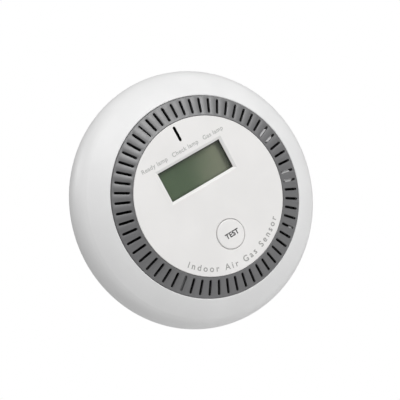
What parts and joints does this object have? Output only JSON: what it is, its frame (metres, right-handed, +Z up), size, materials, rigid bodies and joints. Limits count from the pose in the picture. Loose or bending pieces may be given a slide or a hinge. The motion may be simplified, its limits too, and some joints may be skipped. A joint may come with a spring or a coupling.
{
  "type": "carbon monoxide alarm",
  "caption": "Round battery carbon monoxide alarm with a vent ring, display window and test button, on a twist-lock wall bracket.",
  "frame": {"origin": "middle of the wall bracket's back face, on the wall", "axes": "+Z up the wall, +Y into the wall, -Y out of the alarm's front, +X to the right seen from the front"},
  "size_m": [0.12, 0.0365, 0.12],
  "materials": {
    "case_plastic": "satin off-white moulded plastic",
    "face_plastic": "satin white moulded plastic",
    "bracket_plastic": "satin off-white moulded plastic",
    "vent_plastic": "satin grey moulded plastic",
    "window_glass": "clear polycarbonate, polished",
    "lcd_glass": "glass with a faint green-grey tint",
    "lcd_back": "green-grey reflector foil",
    "clip_plastic": "black moulded plastic",
    "silicone": "grey silicone with conductive layers",
    "black_plastic": "black moulded plastic",
    "clear_plastic": "clear acrylic",
    "lamp_green": "green surface-mount lamp",
    "lamp_yellow": "yellow surface-mount lamp",
    "lamp_red": "red surface-mount lamp",
    "board_laminate": "glass-fibre laminate with green solder mask",
    "sensor_metal": "plated can",
    "contact_steel": "nickel-plated steel",
    "filter_cloth": "charcoal cloth",
    "screen_cloth": "fine black nylon mesh",
    "brass": "thin sheet",
    "ceramic": "silvered ceramic",
    "ferrite": "dark ferrite",
    "copper": "enamelled winding",
    "capacitor_can": "dark sleeve on an aluminium can",
    "chip_resin": "moulded epoxy with tinned legs",
    "battery_metal": "nickel-plated can",
    "battery_sleeve": "plain shrink sleeve, dark with a copper-coloured end",
    "lead_red": "red insulation",
    "lead_black": "black insulation",
    "label": "blank paper-white label",
    "screw_steel": "zinc-plated steel"
  },
  "bodies": {
    "bracket": {"wall_bracket": "bracket_plastic"},
    "alarm": {"amplifier_chip": "chip_resin", "battery_1_can": "battery_metal", "battery_1_sleeve": "battery_sleeve", "battery_1_spring": "contact_steel", "battery_2_can": "battery_metal", "battery_2_sleeve": "battery_sleeve", "battery_2_spring": "contact_steel", "board_screws": "screw_steel", "capacitor": "capacitor_can", "case_screws": "screw_steel", "circuit_board": "board_laminate", "co_sensor": "sensor_metal", "co_sensor_cap": "contact_steel", "co_sensor_filter": "filter_cloth", "co_sensor_pins": "contact_steel", "contact_link": "contact_steel", "contact_minus": "contact_steel", "contact_plus": "contact_steel", "display_window": "window_glass", "dust_screen": "screen_cloth", "face_plate": "face_plastic", "front_cover": "case_plastic", "horn_case": "black_plastic", "horn_ceramic": "ceramic", "horn_disc": "brass", "horn_pins": "contact_steel", "inductor_coil": "copper", "inductor_core": "ferrite", "lamp_green": "lamp_green", "lamp_red": "lamp_red", "lamp_yellow": "lamp_yellow", "lcd_front_glass": "lcd_glass", "lcd_holder": "clip_plastic", "lcd_rear_glass": "lcd_glass", "lcd_reflector": "lcd_back", "lead_black": "lead_black", "lead_red": "lead_red", "light_pipe": "clear_plastic", "light_shroud": "black_plastic", "processor_chip": "chip_resin", "rating_label": "label", "rear_housing": "case_plastic", "small_parts": "chip_resin", "switch_body": "black_plastic", "vent_ring": "vent_plastic", "zebra_strip_lower": "silicone", "zebra_strip_upper": "silicone"},
    "button": {"test_button": "face_plastic"},
    "plunger": {"switch_plunger": "black_plastic"}
  },
  "joints": [
    {"name": "bracket_twist", "type": "hinge", "parent": "bracket", "child": "alarm", "pos_m": [0, 0, 0], "axis": [0, -1, 0], "range_deg": [0, 15]},
    {"name": "button_press", "type": "slide", "parent": "alarm", "child": "button", "axis": [0, 1, 0], "range_m": [0, 0.0005], "stiffness_N_per_m": 1500, "springref_m": -0.0005},
    {"name": "switch_press", "type": "slide", "parent": "alarm", "child": "plunger", "axis": [0, 1, 0], "range_m": [0, 0.0005]}
  ],
  "couplings": [
    {"joint": "switch_press", "follows": "button_press", "ratio": 1}
  ]
}
